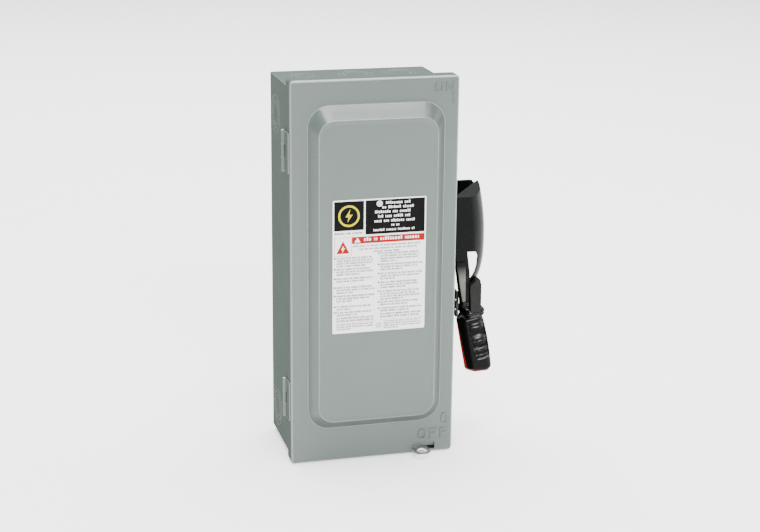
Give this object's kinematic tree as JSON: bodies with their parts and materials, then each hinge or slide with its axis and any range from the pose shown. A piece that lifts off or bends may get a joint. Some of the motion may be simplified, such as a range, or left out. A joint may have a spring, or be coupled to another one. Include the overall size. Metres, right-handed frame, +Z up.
{
  "type": "safety switch",
  "caption": "Wall-mounted fusible disconnect switch: steel box with hinged door, latch tab, side handle that turns the switch blades, fuses, lugs and a padlock plate.",
  "frame": {"origin": "centre of the box's back face, on the wall", "axes": "+X right, +Y into the wall, +Z up, seen from the front; the door faces -Y"},
  "size_m": [0.2197, 0.1184, 0.378],
  "materials": {
    "enclosure_paint": "grey-green baked enamel",
    "zinc": "zinc-plated steel",
    "handle_black": "black gloss paint",
    "handle_shaft_steel": "turned steel",
    "grip_plastic": "moulded black plastic",
    "grip_red": "moulded red plastic",
    "base_plastic": "moulded black thermoset",
    "rotor_bearing_plastic": "moulded thermoset",
    "copper": "tin-flashed copper",
    "bushing_brass": "sintered bronze",
    "lug_aluminium": "extruded aluminium",
    "set_screw_steel": "alloy steel",
    "fuse_fibre": "varnished fibre tube",
    "fuse_cap_metal": "plated brass",
    "arc_fibre": "vulcanised fibre",
    "shield_plastic": "translucent sheet",
    "label_film": "printed polyester film"
  },
  "bodies": {
    "enclosure": {"enclosure_box": "enclosure_paint", "box_hinge_knuckles": "enclosure_paint", "handle_base": "handle_black", "handle_base_screws": "zinc", "shaft_bushing": "bushing_brass", "mounting_pan": "zinc", "pan_screws": "zinc", "switch_base": "base_plastic", "fuse_base": "base_plastic", "base_screws": "zinc", "line_lugs": "lug_aluminium", "line_lug_screws": "set_screw_steel", "load_lugs": "lug_aluminium", "load_lug_screws": "set_screw_steel", "line_jaws": "copper", "blade_hinge_clips": "copper", "upper_fuse_clips": "copper", "lower_fuse_clips": "copper", "fuse_tubes": "fuse_fibre", "fuse_caps": "fuse_cap_metal", "arc_chutes": "arc_fibre", "arc_plates": "zinc", "line_shield": "shield_plastic", "rotor_bearing": "rotor_bearing_plastic", "mechanism_bracket": "zinc", "bracket_screws": "zinc", "ground_bar": "lug_aluminium", "ground_screws": "zinc", "latch_guide": "zinc", "latch_spring": "zinc"},
    "door": {"door_panel": "enclosure_paint", "door_hinge_leaves": "enclosure_paint", "hinge_pins": "zinc", "front_label": "label_film", "wiring_label": "label_film", "interlock_hook": "zinc"},
    "handle": {"handle_yoke": "handle_black", "handle_hub": "handle_black", "handle_shaft": "handle_shaft_steel", "hub_pin": "zinc", "shaft_crank": "zinc", "arm_stiffener": "zinc", "stiffener_clip": "zinc", "handle_tang": "handle_black", "grip_body": "grip_plastic", "grip_insert": "grip_red", "grip_collar": "grip_plastic", "neck_cover": "handle_black", "lock_plate_pins": "zinc"},
    "lock_plate": {"lock_plate": "handle_black"},
    "rotor": {"switch_blades": "copper", "blade_bolts": "copper", "rotor_bar": "base_plastic", "rotor_arms": "zinc", "rotor_crank": "zinc"},
    "latch": {"latch_tab": "zinc"}
  },
  "joints": [
    {"name": "door_hinge", "type": "hinge", "parent": "enclosure", "child": "door", "pos_m": [-0.0804, -0.079, 0], "axis": [0, 0, -1], "range_deg": [0, 120]},
    {"name": "handle_throw", "type": "hinge", "parent": "enclosure", "child": "handle", "pos_m": [0.1, -0.054, 0.026], "axis": [-1, 0, 0], "range_deg": [0, 168]},
    {"name": "rotor_turn", "type": "hinge", "parent": "enclosure", "child": "rotor", "pos_m": [0, -0.034, 0.034], "axis": [-1, 0, 0], "range_deg": [0, 63]},
    {"name": "lock_plate_slide", "type": "slide", "parent": "handle", "child": "lock_plate", "axis": [0, 1, 0], "range_m": [0, 0.012]},
    {"name": "latch_slide", "type": "slide", "parent": "enclosure", "child": "latch", "axis": [1, 0, 0], "range_m": [0, 0.0035], "stiffness_N_per_m": 400}
  ],
  "couplings": [
    {"joint": "rotor_turn", "follows": "handle_throw", "ratio": 0.375}
  ]
}
